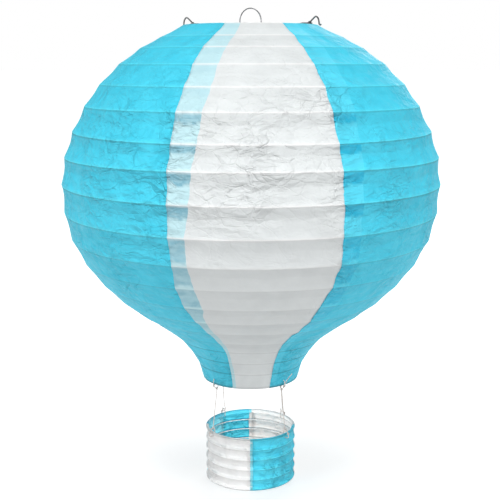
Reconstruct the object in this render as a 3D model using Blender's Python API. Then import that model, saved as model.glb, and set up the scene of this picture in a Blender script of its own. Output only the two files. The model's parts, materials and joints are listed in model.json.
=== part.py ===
# Paper lantern in the shape of a hot air balloon: six paper gores glued over round wire hoops,
# a wire frame that holds the top and mouth rings apart and carries the hanging eye,
# and a small paper basket on its own hoops, hung from the mouth by four tied strings.
# Metres, +Z up, the front of the lantern faces -Y. The origin is inside the top of the hanging eye.

import math

import bmesh
import bpy
from mathutils import Matrix, Vector

mm = 0.001

# Paper and wire
paper_thick = 0.6 * mm
glue_gap = 0.3 * mm
hoop_wire = 0.5 * mm
frame_wire = 0.6 * mm
eye_wire = 0.45 * mm
string_radius = 0.35 * mm

# Envelope hoops from the top ring to the mouth ring: radius and depth below the eye, in millimetres
envelope_hoops = [
    (52.7, 12.6), (70.3, 21.9), (86.7, 30.2), (103.5, 42.4), (118.9, 57.7),
    (131.3, 74.3), (141.1, 93.4), (147.6, 113.6), (150.0, 134.2), (148.3, 155.8),
    (143.1, 176.8), (132.8, 196.9), (119.9, 213.0), (106.5, 226.8), (92.9, 238.4),
    (75.5, 250.9), (61.5, 261.3), (50.0, 272.7), (42.8, 283.4), (39.1, 296.3),
]
sag_share = 0.062
flat_band = 15.0 * mm

# Gores: name, first edge and last edge in degrees from the front, counted towards +X
gores = [
    ("gore_white_front", -22.7, 25.3, "paper_white"),
    ("gore_blue_right", 25.3, 97.3, "paper_blue"),
    ("gore_white_back_right", 97.3, 145.3, "paper_white"),
    ("gore_blue_back", 145.3, 217.3, "paper_blue"),
    ("gore_white_back_left", 217.3, 265.3, "paper_white"),
    ("gore_blue_left", 265.3, 337.3, "paper_blue"),
]
grid_step = 12.0
seam_gap = 0.25

# Basket
basket_radius = 37.6 * mm
basket_rim_drop = 340.6 * mm
basket_hoops = 6
basket_pitch = 8.4 * mm
basket_sag = 1.2 * mm
basket_hem = 0.6 * mm
basket_steps = 32
basket_panels = [
    ("basket_panel_blue_right", 0.0, "paper_blue"),
    ("basket_panel_white_back", 90.0, "paper_white"),
    ("basket_panel_blue_back", 180.0, "paper_blue"),
    ("basket_panel_white_left", 270.0, "paper_white"),
]

# Strings: name, place on the mouth and place on the basket rim in degrees from the front
strings = [
    ("front_left", -46.0, -57.0),
    ("front_right", 41.0, 51.0),
    ("back_right", 137.0, 132.0),
    ("back_left", -140.0, -141.0),
]
tie_hole = 1.5 * mm
tie_reach = 4.4 * mm
string_eye = 0.95 * mm
loose_eye_wide = 1.5 * mm
loose_eye_tall = 2.0 * mm

# Wire frame, measured outwards in its own plane, which is turned a little from the lantern's sides
frame_turn = 78.0
bar_drop = 10.4 * mm
eye_half_width = 8.5 * mm
eye_foot_drop = 9.5 * mm


def clear_scene():
    for item in list(bpy.data.objects):
        bpy.data.objects.remove(item, do_unlink=True)


def make_material(name, colour, roughness, metallic=0.0):
    material = bpy.data.materials.new(name)
    material.use_nodes = True
    shader = material.node_tree.nodes["Principled BSDF"]
    shader.inputs["Base Color"].default_value = colour
    shader.inputs["Roughness"].default_value = roughness
    shader.inputs["Metallic"].default_value = metallic
    material.diffuse_color = colour
    return material


def add_mesh(name, bm, material, smooth=True):
    bmesh.ops.recalc_face_normals(bm, faces=bm.faces)
    mesh = bpy.data.meshes.new(name)
    bm.to_mesh(mesh)
    bm.free()
    item = bpy.data.objects.new(name, mesh)
    bpy.context.collection.objects.link(item)
    mesh.materials.append(material)
    if smooth:
        mesh.shade_smooth()
        mesh.set_sharp_from_angle(angle=math.radians(50))
    return item


def around(degrees, radius, height):
    # A point at an angle from the front, counted towards +X
    turn = math.radians(degrees)
    return Vector((radius * math.sin(turn), -radius * math.cos(turn), height))


def envelope_profile():
    # Outer line of the paper from the top ring down, drawn in between the hoops
    hoops = [Vector((r * mm, -z * mm)) for r, z in envelope_hoops]
    line = [hoops[0]]
    for upper, lower in zip(hoops, hoops[1:]):
        band = lower - upper
        if band.length > flat_band:
            inward = Vector((band.y, -band.x)).normalized()
            line.append((upper + lower) / 2 + inward * band.length * sag_share)
        line.append(lower)
    return line


def basket_profile():
    line = [Vector((basket_radius, -basket_rim_drop + basket_hem))]
    for index in range(basket_hoops):
        level = -basket_rim_drop - index * basket_pitch
        line.append(Vector((basket_radius, level)))
        if index < basket_hoops - 1:
            line.append(Vector((basket_radius - basket_sag, level - basket_pitch / 2)))
    line.append(Vector((basket_radius, line[-1].y - basket_hem)))
    return line


def outward(line, index):
    # Normal of the line, from its two neighbours
    before = line[max(index - 1, 0)]
    after = line[min(index + 1, len(line) - 1)]
    run = (after - before).normalized()
    return Vector((-run.y, run.x))


def paper_sheet(name, line, first, last, steps, material):
    # A strip of paper turned about the lantern's axis, closed at its two seam edges
    inner = [point - outward(line, i) * paper_thick for i, point in enumerate(line)]
    loop = line + inner[::-1]
    bm = bmesh.new()
    start = first + seam_gap / 2
    corners = [bm.verts.new(around(start, p.x, p.y)) for p in loop]
    face = bm.faces.new(corners)
    bmesh.ops.spin(
        bm,
        geom=[face] + list(face.edges) + corners,
        cent=(0, 0, 0),
        axis=(0, 0, 1),
        angle=math.radians(last - first - seam_gap),
        steps=steps,
    )
    return add_mesh(name, bm, material)


def wire_ring(name, radius, height, wire, steps, sides, start, material):
    bm = bmesh.new()
    turn = Matrix.Rotation(math.radians(start - 90), 4, "Z")
    place = turn @ Matrix.Translation((radius, 0, height)) @ Matrix.Rotation(math.radians(90), 4, "X")
    circle = bmesh.ops.create_circle(bm, segments=sides, radius=wire, matrix=place)
    edges = list({edge for vert in circle["verts"] for edge in vert.link_edges})
    bmesh.ops.spin(
        bm,
        geom=edges + circle["verts"],
        cent=(0, 0, 0),
        axis=(0, 0, 1),
        angle=math.radians(360),
        steps=steps,
        use_merge=True,
    )
    return add_mesh(name, bm, material)


def wire_path(name, points, wire, material, closed=False, origin=None, resolution=1):
    # A bent wire or string through the points, as a bevelled curve made into a mesh
    base = origin or Vector((0, 0, 0))
    curve = bpy.data.curves.new(name + "_line", "CURVE")
    curve.dimensions = "3D"
    curve.bevel_depth = wire
    curve.bevel_resolution = resolution
    curve.use_fill_caps = not closed
    spline = curve.splines.new("POLY")
    spline.points.add(len(points) - 1)
    for knot, point in zip(spline.points, points):
        knot.co = (*(point - base), 1)
    spline.use_cyclic_u = closed
    line = bpy.data.objects.new(name + "_line", curve)
    bpy.context.collection.objects.link(line)
    bpy.context.view_layer.update()
    mesh = bpy.data.meshes.new_from_object(line.evaluated_get(bpy.context.evaluated_depsgraph_get()))
    bpy.data.objects.remove(line, do_unlink=True)
    bm = bmesh.new()
    bm.from_mesh(mesh)
    bpy.data.meshes.remove(mesh)
    bmesh.ops.remove_doubles(bm, verts=bm.verts, dist=0.00001)
    item = add_mesh(name, bm, material)
    item.location = base
    return item


def hoop_centre(line, radius, depth):
    # Where the hoop's wire lies, just inside the paper
    target = Vector((radius * mm, -depth * mm))
    index = min(range(len(line)), key=lambda i: (line[i] - target).length)
    return line[index] - outward(line, index) * (paper_thick + glue_gap + hoop_wire)


def build_envelope(materials):
    line = envelope_profile()
    sheets = {}
    for name, first, last, paper in gores:
        steps = round((last - first) / grid_step)
        sheets[name] = paper_sheet(name, line, first, last, steps, materials[paper])
    rings = round(360 / grid_step)
    for index, (radius, depth) in enumerate(envelope_hoops):
        centre = hoop_centre(line, radius, depth)
        name = f"envelope_hoop_{index:02d}"
        if index == 0:
            name = "top_ring"
        if index == len(envelope_hoops) - 1:
            name = "mouth_ring"
        wire_ring(name, centre.x, centre.y, hoop_wire, rings, 4, gores[0][1], materials["hoop_wire"])
    return sheets, hoop_centre(line, *envelope_hoops[-1])


def build_frame(materials):
    # Two long legs hooked over the top ring, a bar between them and the hanging eye on the bar
    leg = [
        (54.1, -12.3), (53.9, -9.4), (53.2, -7.4), (52.0, -6.2), (50.9, -6.4),
        (46.3, -11.2), (45.2, -14.0), (44.9, -20.0), (35.0, -289.0), (35.3, -292.6),
        (36.4, -294.3), (38.0, -294.5),
    ]
    for name, side in (("frame_leg_right", 1), ("frame_leg_left", -1)):
        points = [around(frame_turn, side * s * mm, z * mm) for s, z in leg]
        wire_path(name, points, frame_wire, materials["frame_wire"])
    reach = 45.4 * mm
    bar = [around(frame_turn, side * reach, -bar_drop) for side in (-1, 1)]
    wire_path("frame_bar", bar, frame_wire, materials["frame_wire"])
    arch = []
    rise = eye_foot_drop + eye_wire
    for step in range(17):
        turn = math.pi * step / 16
        arch.append(around(frame_turn, eye_half_width * math.cos(turn), rise * math.sin(turn) - eye_foot_drop))
    wire_path("hanging_eye", arch, eye_wire, materials["eye_wire"])


def build_basket(materials):
    line = basket_profile()
    steps = basket_steps // 4
    sheets = {}
    for name, first, paper in basket_panels:
        sheets[name] = paper_sheet(name, line, first, first + 90, steps, materials[paper])
    centre = basket_radius - paper_thick - glue_gap - hoop_wire
    for index in range(basket_hoops):
        level = -basket_rim_drop - index * basket_pitch
        name = "basket_rim_hoop" if index == 0 else f"basket_hoop_{index}"
        wire_ring(name, centre, level, hoop_wire, basket_steps, 4, 0.0, materials["hoop_wire"])
    return sheets, Vector((centre, -basket_rim_drop))


def tie_points(degrees, centre, flip):
    # A string loop round a hoop wire, through the paper, drawn in together where the string hangs
    shape = [
        (-1.2, 3.2), (-0.4, 4.1), (2.4, 4.2), (3.6, 3.4), (3.9, 1.8), (3.5, -0.4),
        (2.5, -2.6), (1.3, -4.0), (0.2, -4.4), (-0.8, -4.0), (-1.2, -3.0), (-1.2, -1.0), (-1.2, 1.2),
    ]
    points = []
    for out, up in shape:
        points.append(around(degrees, centre.x + out * mm, centre.y + up * mm * flip))
    return points


def string_eye_points(centre, along, across, tall, wide):
    # An eye in the end of a string, left open where the string itself begins
    points = []
    for step in range(11):
        turn = math.radians(-160 + 320 * step / 10)
        points.append(centre + along * tall * math.cos(turn) + across * wide * math.sin(turn))
    return points


def make_tie_hole(sheet, degrees, radius, height):
    bm = bmesh.new()
    turn = Matrix.Rotation(math.radians(degrees - 90), 4, "Z")
    place = turn @ Matrix.Translation((radius, 0, height)) @ Matrix.Rotation(math.radians(90), 4, "Y")
    bmesh.ops.create_cone(
        bm, cap_ends=True, segments=10, radius1=tie_hole, radius2=tie_hole, depth=8 * mm, matrix=place
    )
    cutter = add_mesh(sheet.name + "_hole", bm, sheet.data.materials[0], smooth=False)
    cutter.hide_render = True
    cutter.display_type = "WIRE"
    cut = sheet.modifiers.new("string_hole", "BOOLEAN")
    cut.operation = "DIFFERENCE"
    cut.solver = "EXACT"
    cut.object = cutter


def panel_at(table, degrees):
    for row in table:
        name, first = row[0], row[1]
        last = row[2] if len(row) == 4 else first + 90
        if 0 < (degrees - first) % 360 < last - first:
            return name
    return None


def build_strings(materials, gore_sheets, mouth, basket_sheets, rim):
    string = materials["string"]
    for name, top_turn, rim_turn in strings:
        hole = mouth.y + 4.2 * mm
        make_tie_hole(gore_sheets[panel_at(gores, top_turn)], top_turn, mouth.x + 2 * mm, hole)
        hole = rim.y - 4.2 * mm
        make_tie_hole(basket_sheets[panel_at(basket_panels, rim_turn)], rim_turn, rim.x, hole)
        ring = around(top_turn, mouth.x, mouth.y)
        wire_path("mouth_tie_" + name, tie_points(top_turn, mouth, 1), string_radius, string, True, ring)
        ring = around(rim_turn, rim.x, rim.y)
        link = around(rim_turn, rim.x + 0.2 * mm, rim.y + tie_reach)
        base = link if name == "front_left" else ring
        wire_path("basket_tie_" + name, tie_points(rim_turn, rim, -1), string_radius, string, True, base)
        upper = around(top_turn, mouth.x + 0.2 * mm, mouth.y - tie_reach)
        down = (link - upper).normalized()
        slack = string_eye - 2 * string_radius - 0.1 * mm
        top_side = around(top_turn + 90, 1, 0)
        low_side = around(rim_turn + 90, 1, 0)
        top_eye = string_eye_points(upper + down * slack, -down, top_side, string_eye, string_eye)
        if name == "front_left":
            low_eye = string_eye_points(link - down * slack, down, low_side, string_eye, string_eye)
        else:
            low_eye = string_eye_points(link, down, low_side, loose_eye_tall, loose_eye_wide)
        points = top_eye[1:] + low_eye[:-1]
        wire_path("string_" + name, points, string_radius, string, False, upper)


def build():
    clear_scene()
    materials = {
        "paper_white": make_material("paper_white", (0.86, 0.87, 0.88, 1), 0.75),
        "paper_blue": make_material("paper_blue", (0.07, 0.52, 0.74, 1), 0.7),
        "hoop_wire": make_material("hoop_wire", (0.72, 0.74, 0.76, 1), 0.4, 0.8),
        "frame_wire": make_material("frame_wire", (0.2, 0.21, 0.21, 1), 0.38, 1.0),
        "eye_wire": make_material("eye_wire", (0.3, 0.3, 0.31, 1), 0.35, 1.0),
        "string": make_material("string", (0.88, 0.87, 0.86, 1), 0.85),
    }
    gore_sheets, mouth = build_envelope(materials)
    build_frame(materials)
    basket_sheets, rim = build_basket(materials)
    build_strings(materials, gore_sheets, mouth, basket_sheets, rim)


build()
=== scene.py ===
import json
import math

import bmesh
import bpy
from mathutils import Matrix, Vector, noise

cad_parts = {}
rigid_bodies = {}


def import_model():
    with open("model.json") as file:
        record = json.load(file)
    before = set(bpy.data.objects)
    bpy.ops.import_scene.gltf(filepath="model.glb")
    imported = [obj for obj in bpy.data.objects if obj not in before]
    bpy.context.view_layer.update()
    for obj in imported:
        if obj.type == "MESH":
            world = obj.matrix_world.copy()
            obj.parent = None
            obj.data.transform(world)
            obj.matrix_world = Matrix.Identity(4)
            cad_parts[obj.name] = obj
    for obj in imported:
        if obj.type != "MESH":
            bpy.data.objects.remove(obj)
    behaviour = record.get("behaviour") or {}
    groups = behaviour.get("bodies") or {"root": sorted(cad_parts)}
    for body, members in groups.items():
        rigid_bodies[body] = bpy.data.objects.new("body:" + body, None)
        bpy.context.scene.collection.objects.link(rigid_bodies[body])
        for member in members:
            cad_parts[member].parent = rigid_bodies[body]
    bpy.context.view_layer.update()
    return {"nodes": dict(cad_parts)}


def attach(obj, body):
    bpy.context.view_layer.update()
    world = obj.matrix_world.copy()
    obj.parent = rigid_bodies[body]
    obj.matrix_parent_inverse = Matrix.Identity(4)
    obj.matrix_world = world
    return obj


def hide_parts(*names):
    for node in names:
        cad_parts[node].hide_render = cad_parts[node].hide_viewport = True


for leftover in list(bpy.data.objects):
    bpy.data.objects.remove(leftover, do_unlink=True)

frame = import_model()
mm = 0.001
print("packed model loaded:", len(frame["nodes"]), "nodes")


# Camera, floor and light

view = {
    "pitch": 10.38,       # degrees below level
    "distance": 0.80899,  # from the lantern's axis
    "height": -0.04315,
    "sideways": -0.0004,
    "lens": 72.72,
}
cameraData = bpy.data.cameras.new("camera")
cameraData.lens = view["lens"]
cameraData.sensor_width = 36
cameraData.clip_start = 0.01
camera = bpy.data.objects.new("camera", cameraData)
bpy.context.scene.collection.objects.link(camera)
camera.location = (view["sideways"], -view["distance"], view["height"])
camera.rotation_euler = (math.radians(90 - view["pitch"]), 0, 0)
bpy.context.scene.camera = camera

studio = {
    "floorDrop": 0.386,   # just under the basket
    "floorColour": (0.42, 0.42, 0.42, 1),
    "glowNear": 0.68,     # under the basket: a dimmer glow, as a painted faint shadow
    "glowFar": 1.0,
    "glowReach": (0.389, 0.425),
    "above": 0.22,        # soft light from the room
    "below": 0.60,        # and back from the pale floor
    "topPlace": (-0.1, -1.15, 1.85),
    "topSize": 0.9,
    "topPower": 29,
    "leftPlace": (-1.8, -1.55, 0.22),
    "leftSize": 1.0,
    "leftPower": 16,
    "rightPlace": (1.9, -1.4, 0.22),
    "rightSize": 1.0,
    "rightPower": 15,
    "backPlace": (0.5, 2.2, 0.7),    # for the side that the front lights don't reach
    "backSize": 1.6,
    "backPower": 24,
    # a small fill for the basket, which hangs in the lantern's shade, and for the light that its paper lets in
    "basketPlace": (-0.25, -1.3, -0.25),
    "basketSize": 0.5,
    "basketPower": 4.5,
    "insidePlace": (0, 0, -0.3845),
    "insideSize": 0.06,
    "insidePower": 0.018,
    "insideColour": (1.0, 0.8, 0.7),
}


def makeFloor():
    bm = bmesh.new()
    bmesh.ops.create_grid(bm, x_segments=1, y_segments=1, size=60)
    bmesh.ops.translate(bm, verts=bm.verts, vec=(0, 0, -studio["floorDrop"]))
    mesh = bpy.data.meshes.new("floor")
    bm.to_mesh(mesh)
    bm.free()
    floor = bpy.data.objects.new("floor", mesh)
    bpy.context.scene.collection.objects.link(floor)
    material = bpy.data.materials.new("paleFloor")
    material.use_nodes = True
    shader = material.node_tree.nodes["Principled BSDF"]
    shader.inputs["Base Color"].default_value = studio["floorColour"]
    shader.inputs["Roughness"].default_value = 0.9
    shader.inputs["Specular IOR Level"].default_value = 0.1
    shader.inputs["Emission Color"].default_value = (1, 1, 1, 1)
    # the floor burns out to white away from the lantern, and glows less close under it: a painted faint shadow on top
    # of the real one
    tree = material.node_tree
    place = tree.nodes.new("ShaderNodeTexCoord")
    away = tree.nodes.new("ShaderNodeVectorMath")
    away.operation = "LENGTH"
    tree.links.new(place.outputs["Object"], away.inputs[0])
    glow = tree.nodes.new("ShaderNodeMapRange")
    glow.inputs["From Min"].default_value = studio["glowReach"][0]
    glow.inputs["From Max"].default_value = studio["glowReach"][1]
    glow.inputs["To Min"].default_value = studio["glowNear"]
    glow.inputs["To Max"].default_value = studio["glowFar"]
    tree.links.new(away.outputs["Value"], glow.inputs["Value"])
    tree.links.new(glow.outputs["Result"], shader.inputs["Emission Strength"])
    mesh.materials.append(material)
    floor.visible_diffuse = False    # its light on the paper comes from the room below instead


def softLight(name, place, size, power):
    data = bpy.data.lights.new(name, "AREA")
    data.shape = "DISK"
    data.size = size
    data.energy = power
    light = bpy.data.objects.new(name, data)
    bpy.context.scene.collection.objects.link(light)
    light.location = place
    aim = Vector((0, 0, -0.16)) - light.location
    light.rotation_euler = aim.to_track_quat("-Z", "Y").to_euler()
    return light


def makeSky():
    # The backdrop is seen pure white, and lights the paper less than it shows
    world = bpy.data.worlds.new("studio")
    bpy.context.scene.world = world
    world.use_nodes = True
    nodes, links = world.node_tree.nodes, world.node_tree.links
    back = nodes["Background"]
    back.inputs["Color"].default_value = (1, 1, 1, 1)
    way = nodes.new("ShaderNodeTexCoord")
    split = nodes.new("ShaderNodeSeparateXYZ")
    links.new(way.outputs["Generated"], split.inputs[0])
    fall = nodes.new("ShaderNodeMapRange")
    fall.inputs["From Min"].default_value = -0.5
    fall.inputs["From Max"].default_value = 0.5
    fall.inputs["To Min"].default_value = studio["below"]
    fall.inputs["To Max"].default_value = studio["above"]
    links.new(split.outputs["Z"], fall.inputs["Value"])
    path = nodes.new("ShaderNodeLightPath")
    seen = nodes.new("ShaderNodeMix")
    seen.inputs[3].default_value = 1.0
    links.new(path.outputs["Is Camera Ray"], seen.inputs[0])
    links.new(fall.outputs["Result"], seen.inputs[2])
    links.new(seen.outputs[0], back.inputs["Strength"])


makeFloor()
for side in ("top", "left", "right", "back"):
    softLight(side + "Light", studio[side + "Place"], studio[side + "Size"], studio[side + "Power"])
makeSky()
bpy.context.scene.view_settings.view_transform = "Standard"
print("camera, floor and lights ready")


# Materials

def addNode(tree, kind, **settings):
    node = tree.nodes.new(kind)
    for key, value in settings.items():
        setattr(node, key, value)
    return node


def setInputs(node, **values):
    for key, value in values.items():
        node.inputs[key].default_value = value
    return node


def mixColour(tree, factor, first, second, blend="MIX"):
    # Colours and factors are sockets, or values set on the node itself
    node = addNode(tree, "ShaderNodeMix", data_type="RGBA", blend_type=blend)
    for socket, value in ((node.inputs[0], factor), (node.inputs[6], first), (node.inputs[7], second)):
        if isinstance(value, bpy.types.NodeSocket):
            tree.links.new(value, socket)
        else:
            socket.default_value = value
    return node.outputs[2]


def maths(tree, operation, first, second, clamp=False):
    node = addNode(tree, "ShaderNodeMath", operation=operation, use_clamp=clamp)
    for socket, value in ((node.inputs[0], first), (node.inputs[1], second)):
        if isinstance(value, bpy.types.NodeSocket):
            tree.links.new(value, socket)
        else:
            socket.default_value = value
    return node.outputs[0]


def rescale(tree, value, low, high, newLow, newHigh, clamp=True):
    node = addNode(tree, "ShaderNodeMapRange", clamp=clamp)
    node.inputs["From Min"].default_value = low
    node.inputs["From Max"].default_value = high
    node.inputs["To Min"].default_value = newLow
    node.inputs["To Max"].default_value = newHigh
    tree.links.new(value, node.inputs["Value"])
    return node.outputs["Result"]


paperLooks = {
    "whitePaper": {
        # white paper with a slight painted cyan tint, standing in for blue light that reaches it from the blue gores
        "colour": (0.785, 0.82, 0.825, 1),
        "dull": (0.75, 0.785, 0.79, 1),
        "lapPale": (0.56, 0.82, 0.88, 1),    # white glued over blue, standing off it
        "lapDeep": (0.25, 0.53, 0.65, 1),    # white lying on the blue
        # painted highlight along each hoop's crest, lighter than the paper
        "paintedCrestHighlight": (0.95, 0.95, 0.95, 1),
    },
    "bluePaper": {
        "colour": (0.075, 0.705, 0.925, 1),
        "dull": (0.058, 0.645, 0.865, 1),
        "lapPale": (0.10, 0.74, 0.96, 1),    # blue over white, brighter
        "lapDeep": (0.02, 0.54, 0.80, 1),
        "paintedCrestHighlight": (0.11, 0.80, 0.98, 1),
    },
    "basketWhitePaper": {
        "colour": (0.91, 0.91, 0.905, 1),
        "dull": (0.86, 0.865, 0.865, 1),
        "lapPale": (0.74, 0.88, 0.92, 1),
        "lapDeep": (0.10, 0.50, 0.66, 1),    # the blue's turned edge, seen through at the rim
        "paintedCrestHighlight": (0.97, 0.97, 0.96, 1),
    },
    "basketBluePaper": {
        "colour": (0.098, 0.76, 0.97, 1),
        "dull": (0.070, 0.68, 0.91, 1),
        "lapPale": (0.30, 0.78, 0.90, 1),
        "lapDeep": (0.22, 0.70, 0.85, 1),
        "paintedCrestHighlight": (0.16, 0.80, 0.96, 1),
    },
}
creaseLook = {
    "facets": [(62.0, 0.11), (135.0, 0.11), (260.0, 0.06)],    # dents per metre, and how steep they are
    "creases": [(50.0, 0.36), (104.0, 0.25)],    # sharp folds per metre, and their depth in millimetres
    "creaseWidth": 0.8 * mm,
    "grain": 1500.0,
    "grainHeight": 0.02,
    "paintedShadeSwing": 0.13,     # painted shade and light: how much darker the paper is painted under a hoop, and lighter over one
}


def paperMaterial(name, look):
    material = bpy.data.materials.new(name)
    material.use_nodes = True
    tree = material.node_tree
    shader = tree.nodes["Principled BSDF"]
    place = addNode(tree, "ShaderNodeTexCoord").outputs["Object"]
    # wandering coordinates, so that the creases run as they like
    wander = setInputs(addNode(tree, "ShaderNodeTexNoise"), Scale=34.0, Detail=2.0)
    tree.links.new(place, wander.inputs["Vector"])
    shift = addNode(tree, "ShaderNodeVectorMath", operation="MULTIPLY_ADD")
    tree.links.new(wander.outputs["Color"], shift.inputs[0])
    shift.inputs[1].default_value = (0.022, 0.022, 0.012)
    tree.links.new(place, shift.inputs[2])
    squash = addNode(tree, "ShaderNodeMapping")
    squash.inputs["Scale"].default_value = (1.0, 1.0, 1.8)
    squash.inputs["Rotation"].default_value = (math.radians(9), math.radians(17), math.radians(31))
    tree.links.new(shift.outputs[0], squash.inputs["Vector"])

    crinkled = addNode(tree, "ShaderNodeAttribute", attribute_name="crinkled").outputs["Fac"]
    patches = setInputs(addNode(tree, "ShaderNodeTexNoise"), Scale=30.0, Detail=2.0)
    tree.links.new(place, patches.inputs["Vector"])
    worn = maths(tree, "MULTIPLY", rescale(tree, patches.outputs["Fac"], 0.36, 0.6, 0.5, 1.0), crinkled)
    height = None
    for scale, steep in creaseLook["facets"]:
        dents = addNode(tree, "ShaderNodeTexVoronoi", feature="F1", distance="MANHATTAN")
        dents.inputs["Scale"].default_value = scale
        tree.links.new(squash.outputs[0], dents.inputs["Vector"])
        part = maths(tree, "MULTIPLY", dents.outputs["Distance"], steep * 1000 / scale)
        height = part if height is None else maths(tree, "ADD", height, part)
    for scale, deep in creaseLook["creases"]:
        folds = addNode(tree, "ShaderNodeTexVoronoi", feature="DISTANCE_TO_EDGE")
        folds.inputs["Scale"].default_value = scale
        tree.links.new(squash.outputs[0], folds.inputs["Vector"])
        line = rescale(tree, folds.outputs["Distance"], 0.0, creaseLook["creaseWidth"] * scale, 0.0, deep)
        height = maths(tree, "ADD", height, line)
    height = maths(tree, "MULTIPLY", height, worn)
    grain = setInputs(addNode(tree, "ShaderNodeTexNoise"), Scale=creaseLook["grain"], Detail=2.0)
    tree.links.new(place, grain.inputs["Vector"])
    height = maths(tree, "ADD", height, maths(tree, "MULTIPLY", grain.outputs["Fac"], creaseLook["grainHeight"]))
    bump = setInputs(addNode(tree, "ShaderNodeBump"), Strength=1.0, Distance=0.001)
    tree.links.new(height, bump.inputs["Height"])
    tree.links.new(bump.outputs["Normal"], shader.inputs["Normal"])

    mottle = setInputs(addNode(tree, "ShaderNodeTexNoise"), Scale=70.0, Detail=4.0, Roughness=0.6)
    tree.links.new(place, mottle.inputs["Vector"])
    blotch = rescale(tree, mottle.outputs["Fac"], 0.35, 0.65, 0.0, 1.0)
    colour = mixColour(tree, blotch, look["colour"], look["dull"])
    lap = addNode(tree, "ShaderNodeAttribute", attribute_name="lap").outputs["Fac"]
    touch = addNode(tree, "ShaderNodeAttribute", attribute_name="touch").outputs["Fac"]
    rough = setInputs(addNode(tree, "ShaderNodeTexNoise"), Scale=150.0, Detail=3.0)
    tree.links.new(squash.outputs[0], rough.inputs["Vector"])
    patchy = rescale(tree, rough.outputs["Fac"], 0.3, 0.7, -0.35, 0.35)
    touch = maths(tree, "ADD", touch, maths(tree, "MULTIPLY", patchy, touch), clamp=True)
    double = mixColour(tree, touch, look["lapPale"], look["lapDeep"])
    colour = mixColour(tree, lap, colour, double)
    # painted highlight: the paper's colour is lightened along each hoop's crest
    paintedCrestHighlight = addNode(tree, "ShaderNodeAttribute", attribute_name="paintedCrestHighlight").outputs["Fac"]
    colour = mixColour(tree, paintedCrestHighlight, colour, look["paintedCrestHighlight"])
    # painted shade and light: the tone attribute darkens the colour under each hoop and lightens it lower in each band
    tone = addNode(tree, "ShaderNodeAttribute", attribute_name="tone").outputs["Fac"]
    shade = addNode(tree, "ShaderNodeVectorMath", operation="SCALE")
    tree.links.new(colour, shade.inputs[0])
    swing = creaseLook["paintedShadeSwing"]
    tree.links.new(rescale(tree, tone, -1.0, 1.0, 1 - swing, 1 + swing, clamp=False), shade.inputs["Scale"])
    tree.links.new(shade.outputs[0], shader.inputs["Base Color"])
    tree.links.new(rescale(tree, rough.outputs["Fac"], 0.3, 0.7, 0.5, 0.7), shader.inputs["Roughness"])
    shader.inputs["Specular IOR Level"].default_value = 0.25
    return material


wireLooks = {
    "brightHoopWire": {"colour": (0.62, 0.63, 0.65, 1), "dark": (0.42, 0.43, 0.45, 1), "rough": 0.35},
    "basketHoopWire": {"colour": (0.90, 0.91, 0.92, 1), "dark": (0.74, 0.75, 0.77, 1), "rough": 0.5},
    "darkFrameWire": {"colour": (0.20, 0.21, 0.21, 1), "dark": (0.10, 0.10, 0.11, 1), "rough": 0.34},
    "greyEyeWire": {"colour": (0.36, 0.36, 0.37, 1), "dark": (0.22, 0.22, 0.23, 1), "rough": 0.3},
}


def wireMaterial(name, look):
    material = bpy.data.materials.new(name)
    material.use_nodes = True
    tree = material.node_tree
    shader = tree.nodes["Principled BSDF"]
    place = addNode(tree, "ShaderNodeTexCoord").outputs["Object"]
    stain = setInputs(addNode(tree, "ShaderNodeTexNoise"), Scale=420.0, Detail=4.0)
    tree.links.new(place, stain.inputs["Vector"])
    spots = rescale(tree, stain.outputs["Fac"], 0.4, 0.66, 0.0, 1.0)
    tree.links.new(mixColour(tree, spots, look["colour"], look["dark"]), shader.inputs["Base Color"])
    shine = rescale(tree, stain.outputs["Fac"], 0.3, 0.7, look["rough"] - 0.08, look["rough"] + 0.14)
    tree.links.new(shine, shader.inputs["Roughness"])
    drawn = setInputs(addNode(tree, "ShaderNodeTexNoise"), Scale=2600.0, Detail=2.0)
    tree.links.new(place, drawn.inputs["Vector"])
    bump = setInputs(addNode(tree, "ShaderNodeBump"), Strength=0.25, Distance=0.00005)
    tree.links.new(drawn.outputs["Fac"], bump.inputs["Height"])
    tree.links.new(bump.outputs["Normal"], shader.inputs["Normal"])
    shader.inputs["Metallic"].default_value = 1.0
    return material


def stringMaterial():
    material = bpy.data.materials.new("whiteCottonString")
    material.use_nodes = True
    tree = material.node_tree
    shader = tree.nodes["Principled BSDF"]
    place = addNode(tree, "ShaderNodeTexCoord").outputs["Object"]
    fibre = setInputs(addNode(tree, "ShaderNodeTexNoise"), Scale=3200.0, Detail=3.0)
    tree.links.new(place, fibre.inputs["Vector"])
    tone = rescale(tree, fibre.outputs["Fac"], 0.35, 0.65, 0.0, 1.0)
    tree.links.new(mixColour(tree, tone, (0.80, 0.75, 0.72, 1), (0.58, 0.53, 0.50, 1)), shader.inputs["Base Color"])
    bump = setInputs(addNode(tree, "ShaderNodeBump"), Strength=0.6, Distance=0.00008)
    tree.links.new(fibre.outputs["Fac"], bump.inputs["Height"])
    tree.links.new(bump.outputs["Normal"], shader.inputs["Normal"])
    shader.inputs["Roughness"].default_value = 0.85
    shader.inputs["Sheen Weight"].default_value = 0.3
    return material


papers = {name: paperMaterial(name, look) for name, look in paperLooks.items()}
wires = {name: wireMaterial(name, look) for name, look in wireLooks.items()}
cotton = stringMaterial()
print("materials ready")


# Shared shapes

def addPiece(name, bm, material, body, nodes=()):
    mesh = bpy.data.meshes.new(name)
    bm.to_mesh(mesh)
    bm.free()
    mesh.shade_smooth()
    piece = bpy.data.objects.new(name, mesh)
    bpy.context.scene.collection.objects.link(piece)
    mesh.materials.append(material)
    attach(piece, body)
    if nodes:
        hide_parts(*nodes)
    return piece


def around(degrees, radius, height):
    # A point at an angle from the front, counted towards +X
    turn = math.radians(degrees)
    return Vector((radius * math.sin(turn), -radius * math.cos(turn), height))


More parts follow.
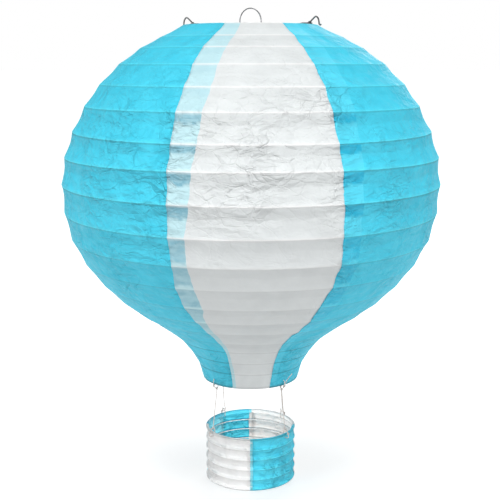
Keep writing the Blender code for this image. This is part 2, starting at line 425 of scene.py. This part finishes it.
def wireRing(radius, height, thickness, steps=144, sides=8):
    bm = bmesh.new()
    place = Matrix.Translation((radius, 0, height)) @ Matrix.Rotation(math.radians(90), 4, "X")
    circle = bmesh.ops.create_circle(bm, segments=sides, radius=thickness, matrix=place)
    edges = list({edge for vert in circle["verts"] for edge in vert.link_edges})
    bmesh.ops.spin(
        bm, geom=edges + circle["verts"], cent=(0, 0, 0), axis=(0, 0, 1),
        angle=math.radians(360), steps=steps, use_merge=True,
    )
    bmesh.ops.recalc_face_normals(bm, faces=bm.faces)
    return bm


def rounded(points, passes=3):
    # Cuts the corners of a bent wire until its bends are smooth
    for _ in range(passes):
        cut = [points[0]]
        for first, second in zip(points, points[1:]):
            cut += [first.lerp(second, 0.25), first.lerp(second, 0.75)]
        points = cut + [points[-1]]
    return points


def resample(points, step):
    # Points spaced evenly along a line
    line = [points[0]]
    rest = step
    for first, second in zip(points, points[1:]):
        run = (second - first).length
        at = rest
        while at < run:
            line.append(first.lerp(second, at / run))
            at += step
        rest = at - run
    line.append(points[-1])
    return line


def tubes(lines, thickness, closed=False, sides=2):
    # Round tubes along several lines in one mesh, made from bevelled curves
    curve = bpy.data.curves.new("line", "CURVE")
    curve.dimensions = "3D"
    curve.bevel_depth = thickness
    curve.bevel_resolution = sides
    curve.use_fill_caps = not closed
    for points in lines:
        spline = curve.splines.new("POLY")
        spline.points.add(len(points) - 1)
        for knot, point in zip(spline.points, points):
            knot.co = (*point, 1)
        spline.use_cyclic_u = closed
    item = bpy.data.objects.new("line", curve)
    bpy.context.scene.collection.objects.link(item)
    bpy.context.view_layer.update()
    mesh = bpy.data.meshes.new_from_object(item.evaluated_get(bpy.context.evaluated_depsgraph_get()))
    bpy.data.objects.remove(item, do_unlink=True)
    bpy.data.curves.remove(curve)
    bm = bmesh.new()
    bm.from_mesh(mesh)
    bpy.data.meshes.remove(mesh)
    bmesh.ops.remove_doubles(bm, verts=bm.verts, dist=0.000004)
    bmesh.ops.recalc_face_normals(bm, faces=bm.faces)
    return bm


# Paper sheets glued round hoops

envelope = {
    # radius and depth below the eye of each hoop, in millimetres
    "hoops": [
        (52.7, 12.6), (71.6, 21.9), (87.2, 30.2), (104.0, 42.4), (119.3, 57.7),
        (131.3, 74.3), (141.1, 93.4), (147.6, 113.6), (150.0, 134.2), (148.3, 155.8),
        (143.1, 176.8), (132.8, 196.9), (119.9, 213.0), (105.7, 226.8), (90.5, 238.4),
        (71.9, 250.9), (58.6, 261.3), (49.2, 272.7), (42.8, 283.4), (39.1, 296.3),
    ],
    "sheet": 0.2 * mm,
    "ringReach": 1.1 * mm,     # from a hoop's wire centre to the paper's outer face
    "wire": 0.5 * mm,
    "longBand": 15 * mm,
    "rowStep": 1.8 * mm,
    "foldShare": 0.066,        # how far a long band folds in, as a share of its height
    "slackShare": 0.035,
    "columnStep": 0.72,        # degrees
    "layerDrop": 0.3 * mm,
    "flap": 3.4 * mm,          # paper turned in behind an end ring
    "body": "lantern",
    # how deep the bands fold in down the lantern
    "tautness": [(12, 0.4), (60, 0.55), (90, 1.0), (130, 1.0), (146, 0.75), (166, 0.5), (200, 0.4), (240, 0.35), (300, 0.3)],
    # how far each hoop hangs lower at the front, and how far it sits to the right, in millimetres
    "lean": [
        (12.6, 0.0, 0.0), (21.9, 0.0, 1.0), (57.7, 0.0, 1.3), (74.3, 0.0, 1.1), (93.4, 1.8, 1.0), (113.6, -0.7, 0.8),
        (134.2, 1.2, 0.4), (155.8, 2.2, 0.2), (176.8, 1.7, 0.0), (196.9, -0.8, 0.0), (213, 0.0, 0.0),
    ],
    "stretch": 1.5,            # how much longer the creases run round the lantern than down it
    "paintedShadeUnderHoop": {"white": -1.0, "blue": -3.0},    # painted shade: tone of the thin dark line under each hoop
    "crinkling": {
        "white": [
            (10, 0.5), (45, 0.6), (75, 0.95), (100, 1.15), (126, 0.78), (144, 0.52), (165, 0.42), (200, 0.3),
        ],
        "blue": [
            (10, 0.7), (45, 0.8), (75, 1.1), (100, 1.3), (126, 1.15), (165, 1.15), (200, 1.15), (240, 1.1), (290, 1.0),
        ],
    },
    "panels": [
        # piece, node, left seam in degrees from the front, which seam shape, columns in its lap, paper
        ("goreWhiteFront", "gore_white_front", -22.7, "whiteOver", 12, "whitePaper"),
        ("goreBlueRight", "gore_blue_right", 25.3, "blueOver", 12, "bluePaper"),
        ("goreWhiteBackRight", "gore_white_back_right", 97.3, "whiteOver", 12, "whitePaper"),
        ("goreBlueBack", "gore_blue_back", 145.3, "blueOver", 12, "bluePaper"),
        ("goreWhiteBackLeft", "gore_white_back_left", 217.3, "whiteOver", 12, "whitePaper"),
        ("goreBlueLeft", "gore_blue_left", 265.3, "blueOver", 12, "bluePaper"),
    ],
}
basket = {
    "rimDrop": 340.6,
    "radius": 37.3,
    "pitch": 8.4,
    "count": 6,
    "sheet": 0.2 * mm,
    "ringReach": 1.1 * mm,
    "wire": 0.5 * mm,
    "longBand": 15 * mm,
    "rowStep": 0.7 * mm,
    "foldShare": 0.1,
    "slackShare": 0.17,
    "lean": [(330, 0.0, 0.0), (400, 0.0, 0.0)],
    "columnStep": 2.0,
    "layerDrop": 0.3 * mm,
    "flap": 2.6 * mm,
    "body": "basket",
    "stretch": 3.2,
    # painted shade: tone of the thin dark line under each hoop
    "paintedShadeUnderHoop": {"white": -1.0, "blue": -1.6},
    "crinkling": {"white": [(330, 1.35)], "blue": [(330, 1.75)]},
    "panels": [
        ("basketBlueRight", "basket_panel_blue_right", 0, "front", 4, "basketBluePaper"),
        ("basketWhiteBack", "basket_panel_white_back", 90, "right", 4, "basketWhitePaper"),
        ("basketBlueBack", "basket_panel_blue_back", 180, "back", 4, "basketBluePaper"),
        ("basketWhiteLeft", "basket_panel_white_left", 270, "left", 28, "basketWhitePaper"),
    ],
    "ear": {"turn": 72.0, "half": 8.0, "rise": 4.2 * mm},    # a bit of the flap that has come unstuck
}
basket["hoops"] = [
    (basket["radius"], basket["rimDrop"] + basket["pitch"] * step) for step in range(basket["count"])
]
# How each seam runs: depth in mm, degrees off the seam's own place, and how far the other paper goes on under it
seamShapes = {
    "whiteOver": [
        (13, 1.9, 12.7), (21, 0.4, 12.5), (28, -0.8, 11.6), (37, -1.0, 10.8), (46, -0.7, 9.9), (60, -0.4, 9.3),
        (76, -0.7, 8.3), (93, -0.3, 7.7), (110, -0.1, 6.8), (134, 0.3, 6.1), (158, 0.3, 4.7), (177, 0.4, 4.5),
        (198, -0.6, 6.0), (214, -0.6, 6.6), (223, 0.2, 4.8), (232, 1.5, 3.3), (243, 2.4, 3.2), (254, 3.4, 2.8),
        (265, 3.5, 2.4), (275, 2.5, 2.9), (284, 1.9, 3.5), (296, 1.8, 4.1),
    ],
    "blueOver": [
        (13, 1.6, 12.6), (21, 0.2, 12.1), (28, -0.6, 11.6), (46, -0.6, 9.6), (64, -0.6, 8.4), (93, -0.6, 7.0), (128, -0.4, 6.0),
        (145, -0.1, 5.4), (160, 0.1, 5.5), (177, 0.7, 5.5), (198, 0.4, 5.8), (206, -0.3, 6.2), (214, -0.8, 6.4),
        (228, -0.9, 5.6), (238, -2.1, 5.4), (244, -3.7, 5.6), (252, -4.2, 5.8), (259, -3.8, 5.8), (266, -3.1, 6.0),
        (273, -2.7, 6.4), (285, -1.7, 7.0), (296, -2.2, 7.4),
    ],
    "front": [(330, -0.4, 3.0), (400, -0.4, 3.0)],
    "right": [(330, -2.0, 4.0), (400, -2.0, 4.0)],
    "back": [(330, -1.6, 3.6), (400, -1.6, 3.6)],
    "left": [(330, -49.0, 49.0), (400, -49.0, 49.0)],    # the white paper laps far over the blue
}


def lookUp(table, key, column):
    if key <= table[0][0]:
        return table[0][column]
    for low, high in zip(table, table[1:]):
        if key <= high[0]:
            part = (key - low[0]) / (high[0] - low[0])
            part = part * part * (3 - 2 * part)
            return low[column] + (high[column] - low[column]) * part
    return table[-1][column]


def wave(x, y=0.0, z=0.0):
    return noise.noise(Vector((x, y, z)))


def ringWave(degrees, turns, seed):
    # Noise that joins up with itself round the lantern
    a = math.radians(degrees)
    return noise.noise(Vector((math.cos(a) * turns, math.sin(a) * turns, seed)))


def profileRows(shape):
    # The paper's profile, from the flap inside the first ring to the flap inside the last
    rows = []
    points = [Vector((r, -z)) * mm for r, z in shape["hoops"]]
    runs = [(b - a).normalized() for a, b in zip(points, points[1:])]
    outs = [Vector((-run.y, run.x)) for run in runs]
    crest = [outs[0]] + [(a + b).normalized() for a, b in zip(outs, outs[1:])] + [outs[-1]]
    reach = shape["ringReach"]

    def hem(end, run, out, order):
        centre = points[end] - out * reach
        sign = -1 if end == 0 else 1
        line = []
        for turn in (30, 65, 100, 135, 170):
            a = math.radians(turn)
            way = out * math.cos(a) + run * sign * math.sin(a)
            line.append((centre + way * reach, way, 0.0))
        line.append((centre - run * sign * 1.2 * mm - out * 0.75 * mm, -out, 0.4))
        line.append((centre - run * sign * shape["flap"] - out * 0.2 * mm, -out, 1.0))
        for point, way, loose in line[::order]:
            band = -1 if end == 0 else len(runs)
            rows.append({"at": point, "out": way, "band": band, "w": 0.0, "span": 0.0, "loose": loose})

    hem(0, runs[0], crest[0], -1)
    for band, (top, low) in enumerate(zip(points, points[1:])):
        length = (low - top).length
        if length > shape["longBand"]:
            half = length * 0.5
            middle = max(2, round((half - 2.2 * mm) / shape["rowStep"]))
            steps = [0, 0.7 * mm, 2.2 * mm]
            steps += [2.2 * mm + (half - 2.2 * mm) * (i + 1) / middle for i in range(middle)]
            steps += [length - s for s in steps[-2:0:-1]]
        else:
            count = max(4, round(length / shape["rowStep"]))
            steps = [0, 0.7 * mm] + [length * i / count for i in range(1, count)] + [length - 0.7 * mm]
        for step in steps:
            rows.append({
                "at": top + runs[band] * step, "out": outs[band] if step else crest[band],
                "band": band, "w": step / length, "span": length, "loose": 0.0,
            })
    final = (points[-1] - points[-2]).length
    rows.append({"at": points[-1], "out": crest[-1], "band": len(runs) - 1, "w": 1.0, "span": final, "loose": 0.0})
    hem(len(points) - 1, runs[-1], crest[-1], 1)
    return rows


def crinkle(place, strength, stretch):
    # Dents and sharp little folds of thin paper, in millimetres
    base = Vector((place.x, place.y, place.z * stretch)) * 1000
    p = base + noise.noise_vector(base * 0.035) * 5.0
    dents = noise.noise(p * 0.062) * 0.22
    folds = (0.45 - abs(noise.noise(p * 0.105 + Vector((31, 7, 3))))) * 0.32
    small = (0.4 - abs(noise.noise(p * 0.2 + Vector((5, 51, 9))))) * 0.3
    return (dents + folds + small) * strength


def paperTint(shape, index):
    return "blue" if "Blue" in shape["panels"][index][0] else "white"


def crinkleStrength(shape, index, degrees, drop):
    middle = lookUp(shape["crinkling"][paperTint(shape, index)], drop, 1)
    patch = 0.55 + 0.9 * max(0.0, ringWave(degrees, 3.4, drop * 0.02) + 0.25)
    return middle * min(patch, 1.3)


def seamAt(shape, index, drop):
    # The left edge of a sheet and the hidden edge of its left neighbour, in degrees
    panels = shape["panels"]
    index, full = index % len(panels), index // len(panels)
    table = seamShapes[panels[index][3]]
    loose = 0.3 if shape is envelope else 0.8
    ripple = wave(drop * 0.11, index * 9.1, 2.0) * loose + wave(drop * 0.35, index * 5.3, 8.0) * loose * 0.5
    over = panels[index][2] + 360 * full + lookUp(table, drop, 1) + ripple
    return over, over + lookUp(table, drop, 2) + wave(drop * 0.16, index * 3.7, 5.0) * loose


def sheetColumns(lapSteps, ownSteps, nextSteps):
    # Columns across a sheet: over the left neighbour, on its own, and under the right neighbour
    columns = [("over", i / lapSteps) for i in range(lapSteps + 1)]
    columns += [("own", i / ownSteps) for i in range(ownSteps + 1)]
    columns += [("under", i / nextSteps) for i in range(nextSteps + 1)]
    return columns


def columnAngle(zone, share, left, right):
    if zone == "over":
        return left[0] + (left[1] - left[0]) * share
    if zone == "own":
        start, end = left[1] + 0.1, right[0] - 0.1
        return start + (end - start) * share
    return right[0] + (right[1] - right[0]) * share


def paintedBandShade(w, span, fold, kind, line):
    # Painted shade and light: darker just under a hoop, lighter from the fold down to the next one
    down, up = w * span / mm, (1 - w) * span / mm
    if kind == "long":
        if down < 0.4 or up < 0.4:
            return 0.9
        if down < 1.0:
            return line
        if up < 2.6:
            return 0.7
        return -0.5 + 0.1 * w / fold if w < fold else 0.2 + 0.3 * (w - fold) / (1 - fold)
    if kind == "basket":
        if 0.3 < down < 1.0:
            return line
        return 0.9 if up < 2.4 or down < 0.3 else -0.9 + 1.3 * w
    if down < 0.4 or up < 0.4:
        return 0.3
    return line if down < 1.0 else 0.1


def paperSheet(shape, index):
    panels = shape["panels"]
    name, node, start, seam, lapSteps, paper = panels[index]
    after = panels[(index + 1) % len(panels)]
    following = after[2] + (360 if index == len(panels) - 1 else 0)
    rows = profileRows(shape)
    columns = sheetColumns(lapSteps, round((following - start) / shape["columnStep"]), after[4])
    bm = bmesh.new()
    rowOf = bm.verts.layers.int.new("row")
    layers = {key: bm.verts.layers.float.new(key) for key in ("lap", "touch", "paintedCrestHighlight", "crinkled", "tone")}
    verts = []
    for number, row in enumerate(rows):
        vert = bm.verts.new((row["at"].x, 0, row["at"].y))
        vert[rowOf] = number
        verts.append(vert)
    edges = [bm.edges.new(pair) for pair in zip(verts, verts[1:])]
    bmesh.ops.spin(
        bm, geom=verts + edges, cent=(0, 0, 0), axis=(0, 0, 1),
        angle=math.radians(len(columns) - 1), steps=len(columns) - 1,
    )
    for vert in bm.verts:
        row = rows[vert[rowOf]]
        column = round(math.degrees(math.atan2(vert.co.y, vert.co.x))) % 360
        zone, share = columns[column]
        shapeSheet(vert, row, zone, share, shape, index, layers)
    bmesh.ops.recalc_face_normals(bm, faces=bm.faces)
    outward = sum(face.normal.dot(face.calc_center_median() * Vector((1, 1, 0))) for face in bm.faces)
    if outward < 0:
        bmesh.ops.reverse_faces(bm, faces=bm.faces)
    piece = addPiece(name, bm, papers[paper], shape["body"], [node])
    thicken = piece.modifiers.new("paperThickness", "SOLIDIFY")
    thicken.thickness = shape["sheet"]
    thicken.offset = -1
    return piece


def shapeSheet(vert, row, zone, share, shape, index, layers):
    drop = -row["at"].y / mm
    left, right = seamAt(shape, index, drop), seamAt(shape, index + 1, drop)
    degrees = columnAngle(zone, share, left, right)
    out, at, w, span, band = row["out"], row["at"], row["w"], row["span"], row["band"]
    push, fold = 0.0, 0.45
    inBand = span > 0 and 0 < w < 1
    folded = span > shape["longBand"]
    strength = crinkleStrength(shape, index, degrees, drop)
    if inBand:
        if folded:
            fold = 0.46 + 0.12 * ringWave(degrees, 6, band * 3.3)
            moved = fold * w * 2 if w < 0.5 else fold + (1 - fold) * (w - 0.5) * 2
            at = at + (moved - w) * span * Vector((out.y, -out.x))
            w = moved
        depth = span * (shape["foldShare"] if folded else shape["slackShare"])
        depth *= 1 + 0.28 * ringWave(degrees, 4, band * 1.7 + 20)
        if shape is envelope:
            depth *= lookUp(envelope["tautness"], drop, 1)
        if folded:
            fall = w / fold if w < fold else (1 - w) / (1 - fold)
            fall = 1 - (1 - fall) ** 1.75
        else:
            fall = 4 * w * (1 - w)
        push -= depth * fall
        pin = min(1.0, min(w, 1 - w) * span / (3.2 * mm))
        edge = min(abs(degrees - left[0]), abs(degrees - right[0]))
        beside = 1 + 0.5 * max(0.0, 1 - edge / 9)
        push += crinkle(around(degrees, at.x, at.y), strength * beside, shape["stretch"]) * pin * mm
    if zone == "under":
        push -= shape["layerDrop"]
    elif zone == "own":
        away = (right[0] - degrees) * math.radians(1) * at.x
        if away < 3 * mm:
            ease = 1 - away / (3 * mm)
            push -= shape["layerDrop"] * ease * ease * (3 - 2 * ease)
    elif inBand and share < 0.2:
        push += 0.12 * mm * (1 - share / 0.2) * max(0.0, 0.3 + wave(drop * 0.2, index, 1.5))
    at = at + out * push
    if shape is basket and band == -1 and row["loose"]:
        # the unstuck ear stands up out of the rim instead of lying behind it
        ear = basket["ear"]
        near = max(0.0, 1 - abs(degrees - ear["turn"]) / ear["half"]) ** 0.6
        at = at + Vector((0.4 * mm, (ear["rise"] + basket["flap"]) * row["loose"])) * near
    leaning = lookUp(shape["lean"], drop, 1) * math.cos(math.radians(degrees)) * mm
    vert.co = around(degrees, at.x, at.y - leaning) + Vector((lookUp(shape["lean"], drop, 2) * mm, 0, 0))
    vert[layers["lap"]] = 1.0 if zone == "over" else 0.0
    if shape is basket and zone == "under" and index == 2:
        vert[layers["lap"]] = 0.7    # the white outside shows through
    # how strong the painted crest highlight is down the lantern
    crested = lookUp([(60, 0.8), (156, 0.8), (174, 0.4), (195, 0.12), (330, 0.12), (338, 0.4)], drop, 1)
    vert[layers["paintedCrestHighlight"]] = max(0.0, 1 - min(w, 1 - w) * span / (1.1 * mm)) * crested if span else crested * 0.8
    edge = min(abs(degrees - left[0]), abs(degrees - right[0]))
    vert[layers["crinkled"]] = strength * (1 + 0.9 * max(0.0, 1 - edge / 5)) if span else 0.2
    kind = "basket" if shape is basket else ("long" if folded else "short")
    tint = paperTint(shape, index)
    # painted shade under each hoop and painted light lower in each band, plus a random wobble
    tone = paintedBandShade(w, span, fold, kind, shape["paintedShadeUnderHoop"][tint]) if span else 0.2
    if kind == "long":
        tone *= lookUp(envelope["tautness"], drop, 1)
    if shape is envelope and drop > 295.0:
        tone = shape["paintedShadeUnderHoop"][tint]    # painted shade along the mouth's turned edge
    tone += 0.25 * ringWave(degrees, 9, band * 2.3 + w)
    vert[layers["tone"]] = tone
    # where the two papers of a seam lie on each other, just under each hoop
    touching = 0.0
    if inBand and shape is envelope:
        reach = lookUp([(100, 0.38), (150, 0.44), (158, 0.7), (176, 0.9), (235, 0.95)], drop, 1)
        reach += 0.12 * wave(degrees * 0.5, band * 2.9, 6.0)
        touching = max(0.0, min(1.0, (reach - w) / 0.06)) * max(0.0, min(1.0, w / 0.05))
        touching *= lookUp([(10, 0.1), (70, 0.15), (80, 0.85), (150, 0.9), (165, 0.62), (215, 0.6), (228, 0.4), (242, 0.1)], drop, 1)
    rimLap = shape is basket and index == 3 and zone == "over" and band == -1
    if rimLap:
        touching = 1.0
        vert[layers["paintedCrestHighlight"]] = 0.0
    vert[layers["touch"]] = touching


def hoopWires(shape, names, finish):
    points = [Vector((r, -z)) * mm for r, z in shape["hoops"]]
    for index, (point, node) in enumerate(zip(points, names)):
        before, after = points[max(index - 1, 0)], points[min(index + 1, len(points) - 1)]
        run = (after - before).normalized()
        centre = point - Vector((-run.y, run.x)) * shape["ringReach"]
        bm = wireRing(centre.x, centre.y, shape["wire"])
        drop = -point.y / mm
        tilt = math.atan2(lookUp(shape["lean"], drop, 1), point.x / mm)
        middle = Vector((0, 0, centre.y))
        bmesh.ops.rotate(bm, verts=bm.verts, cent=middle, matrix=Matrix.Rotation(tilt, 3, "X"))
        bmesh.ops.translate(bm, verts=bm.verts, vec=(lookUp(shape["lean"], drop, 2) * mm, 0, 0))
        addPiece(node + "_wire", bm, wires[finish], shape["body"], [node])


for number in range(len(envelope["panels"])):
    paperSheet(envelope, number)
print("six paper gores laid over one another")
middleHoops = [f"envelope_hoop_{step:02d}" for step in range(1, len(envelope["hoops"]) - 1)]
hoopWires(envelope, ["top_ring"] + middleHoops + ["mouth_ring"], "brightHoopWire")
print("envelope hoops in place")
for number in range(len(basket["panels"])):
    paperSheet(basket, number)
hoopWires(basket, ["basket_rim_hoop"] + [f"basket_hoop_{step}" for step in range(1, basket["count"])], "basketHoopWire")
print("paper basket in place")


# Wire frame and hanging eye

wireFrame = {
    "turn": 78.0,      # degrees from the front
    "legWire": 0.6 * mm,
    "leg": [
        (54.1, -12.3), (53.9, -9.4), (53.2, -7.4), (52.0, -6.2), (50.9, -6.4),
        (46.3, -11.2), (45.2, -14.0), (44.9, -20.0), (35.0, -289.0), (35.3, -292.6),
        (36.4, -294.3), (38.0, -294.5),
    ],
    "curl": [(55.8, -12.2), (55.2, -12.8)],    # the right leg's end is bent outwards
    "barDrop": 11.2,
    "barReach": 46.9,
    "barSag": 0.8,     # lower between the hooks than at them
    "eyeWire": 0.45 * mm,
    "eyeHalfWidth": 8.5,
    "eyeFootDrop": 9.5,
}


def inFrame(out, up, side=0.0):
    # A place in the frame's plane, with a little way out of it
    return around(wireFrame["turn"], out * mm, up * mm) + around(wireFrame["turn"] + 90, side * mm, 0)


def coil(centre, axis, first, radius, turns, pitch, steps=14):
    # Wire wrapped round another wire
    second = axis.cross(first)
    line = []
    for step in range(round(turns * steps) + 1):
        a = 2 * math.pi * step / steps
        rise = pitch * (step / steps - turns / 2)
        line.append(centre + axis * rise + (first * math.cos(a) + second * math.sin(a)) * radius)
    return line


def frameWires():
    for name, side in (("frame_leg_right", 1), ("frame_leg_left", -1)):
        path = wireFrame["leg"]
        if side == 1:
            path = wireFrame["curl"] + path
        points = rounded([inFrame(side * s, z) for s, z in path])
        addPiece(name + "_wire", tubes([points], wireFrame["legWire"]), wires["darkFrameWire"], "lantern", [name])
    along = around(wireFrame["turn"], 1, 0)
    up = Vector((0, 0, 1))
    drop, reach = -wireFrame["barDrop"], wireFrame["barReach"]
    low = drop - wireFrame["barSag"]
    places = [(-reach + 2.2, drop), (-reach + 5.5, drop), (-reach + 9, low)]
    lines = [rounded([inFrame(s, z) for s, z in places] + [inFrame(-s, z) for s, z in places[::-1]], 2)]
    for side in (-1, 1):
        slope = (along * side * 4.6 + up * 4.8).normalized()
        round_ = (along * side * -4.8 + up * 4.6).normalized()
        wrap = coil(inFrame(side * reach, drop - 0.05), slope, round_, 1.22 * mm, 1.5, 1.3 * mm)
        lines.append(rounded([inFrame(side * (reach - 2.2), drop)] + wrap, 1))
    addPiece("frame_bar_wire", tubes(lines, wireFrame["legWire"]), wires["darkFrameWire"], "lantern", ["frame_bar"])
    half, foot = wireFrame["eyeHalfWidth"], wireFrame["eyeFootDrop"]
    rise = foot + wireFrame["eyeWire"] / mm
    arch = [
        inFrame(half * math.cos(math.pi * step / 40), rise * math.sin(math.pi * step / 40) - foot)
        for step in range(41)
    ]
    arch = [inFrame(half, low + 0.6)] + arch + [inFrame(-half, low + 0.6)]
    ends = []
    for side in (1, -1):
        ends.append(coil(inFrame(side * half, low), along, up, 1.08 * mm, 2.5, 0.95 * mm))
    addPiece(
        "hanging_eye_wire", tubes([arch] + ends, wireFrame["eyeWire"]),
        wires["greyEyeWire"], "lantern", ["hanging_eye"],
    )


frameWires()
print("frame and hanging eye in place")


# Strings

rigging = {
    # string, its place round the mouth and round the basket's rim, in degrees
    "strings": [("front_left", -46, -57), ("front_right", 41, 51), ("back_right", 137, 132), ("back_left", -140, -141)],
    "mouth": (37.754, -295.914),
    "rim": (36.2, -340.6),
    "tieReach": 4.4,
    "eye": 0.95,
    "looseEye": (2.0, 1.5),
    "strand": 0.22 * mm,
    "layRadius": 0.19 * mm,
    "layPitch": 1.5 * mm,
    "step": 0.16 * mm,
    "tie": [
        (-1.2, 3.2), (-0.4, 4.1), (2.4, 4.2), (3.6, 3.4), (3.9, 1.8), (3.5, -0.4), (2.5, -2.6),
        (1.3, -4.0), (0.2, -4.4), (-0.8, -4.0), (-1.2, -3.0), (-1.2, -1.0), (-1.2, 1.2),
    ],
    "rimTieShare": 0.6,     # the lower ties reach less far past the rim
    "knotSize": 0.4 * mm,
    "tail": [(39.5, 41.2, -296.6), (40, 42.2, -295.2), (42, 42.9, -292.2), (44.5, 44.0, -289.2), (47, 45.6, -286.4)],
}


def twist(points, closed=False):
    # Two strands laid round each other along a line
    if closed:
        points = points + points[:1]
    line = resample(points, rigging["step"])
    runs = [(b - a).normalized() for a, b in zip(line, line[1:])]
    runs.append(runs[-1])
    side = runs[0].orthogonal().normalized()
    strands = ([], [])
    length = 0.0
    for number, (point, run) in enumerate(zip(line, runs)):
        side = (side - run * side.dot(run)).normalized()
        if number:
            length += (point - line[number - 1]).length
        turn = 2 * math.pi * length / rigging["layPitch"]
        across = run.cross(side)
        way = (side * math.cos(turn) + across * math.sin(turn)) * rigging["layRadius"]
        strands[0].append(point + way)
        strands[1].append(point - way)
    return list(strands)


def knot(centre, facing, size):
    # An overhand knot pulled tight
    up = Vector((0, 0, 1))
    across = facing.cross(up).normalized()
    line = []
    for step in range(61):
        t = 2 * math.pi * step / 60
        x = math.sin(t) + 2 * math.sin(2 * t)
        y = math.cos(t) - 2 * math.cos(2 * t)
        z = -math.sin(3 * t)
        line.append(centre + (across * x + up * y + facing * z) * size)
    return line


def stringEye(centre, along, across, tall, wide):
    points = []
    for step in range(25):
        turn = math.radians(-160 + 320 * step / 24)
        points.append(centre + along * tall * math.cos(turn) * mm + across * wide * math.sin(turn) * mm)
    return points


def tieLine(degrees, centre, flip):
    share = rigging["rimTieShare"] if flip < 0 else 1
    points = [
        around(degrees, (centre[0] + out) * mm, (centre[1] + (max(up, 0) * share + min(up, 0)) * flip) * mm)
        for out, up in rigging["tie"]
    ]
    loop = points + points[:1]
    return rounded(loop, 2)


def addTie(piece, node, degrees, centre, flip, body):
    lines = twist(tieLine(degrees, centre, flip))
    facing = around(degrees, 1, 0)
    middle = around(degrees, (centre[0] + 3.4) * mm, (centre[1] - 1.0 * flip) * mm)
    lines.append(knot(middle, facing, rigging["knotSize"]))
    lines.append(knot(middle, (facing + Vector((0, 0, 0.9))).normalized(), rigging["knotSize"] * 0.8))
    addPiece(piece, tubes(lines, rigging["strand"], sides=1), cotton, body, [node])


def addString(name, topTurn, rimTurn):
    mouth, rim = rigging["mouth"], rigging["rim"]
    mouthBody, stringBody = "mouth_tie_" + name, "string_" + name
    addTie("mouthTie_" + name, mouthBody, topTurn, mouth, 1, mouthBody)
    rimBody = "basket_tie_front_left" if name == "front_left" else "basket"
    addTie("basketTie_" + name, "basket_tie_" + name, rimTurn, rim, -1, rimBody)
    link = around(rimTurn, (rim[0] + 0.2) * mm, (rim[1] + rigging["tieReach"]) * mm)
    upper = around(topTurn, (mouth[0] + 0.2) * mm, (mouth[1] - rigging["tieReach"]) * mm)
    down = (link - upper).normalized()
    eye = rigging["eye"]
    slack = (eye - 0.8) * mm
    points = stringEye(upper + down * slack, -down, around(topTurn + 90, 1, 0), eye, eye)[2:]
    across = around(rimTurn + 90, 1, 0)
    if name == "front_left":
        points += stringEye(link - down * slack, down, across, eye, eye)[:-2]
    else:
        tall, wide = rigging["looseEye"]
        points += stringEye(link, down, across, tall, wide)[:-2]
    addPiece("string_" + name + "_cotton", tubes(twist(points), rigging["strand"], sides=1), cotton, stringBody, ["string_" + name])


for name, topTurn, rimTurn in rigging["strings"]:
    addString(name, topTurn, rimTurn)
tail = rounded([around(turn, r * mm, z * mm) for turn, r, z in rigging["tail"]], 2)
addPiece("stringTail", tubes(twist(tail), rigging["strand"], sides=1), cotton, "lantern")
print("strings tied")


def lightBasket():
    # Two fills that reach only the basket and its strings
    lit = bpy.data.collections.new("basketAndStrings")
    for item in bpy.data.objects:
        if item.type == "MESH" and item.name.startswith(("basket", "mouthTie", "string")):
            if item.name not in {node for node in frame["nodes"]}:
                lit.objects.link(item)
    front = softLight("basketLight", studio["basketPlace"], studio["basketSize"], studio["basketPower"])
    inside = softLight("insideLight", studio["insidePlace"], studio["insideSize"], studio["insidePower"])
    inside.rotation_euler = (math.pi, 0, 0)
    inside.data.color = studio["insideColour"]
    for light in (front, inside):
        light.light_linking.receiver_collection = lit


lightBasket()
print("basket lit")
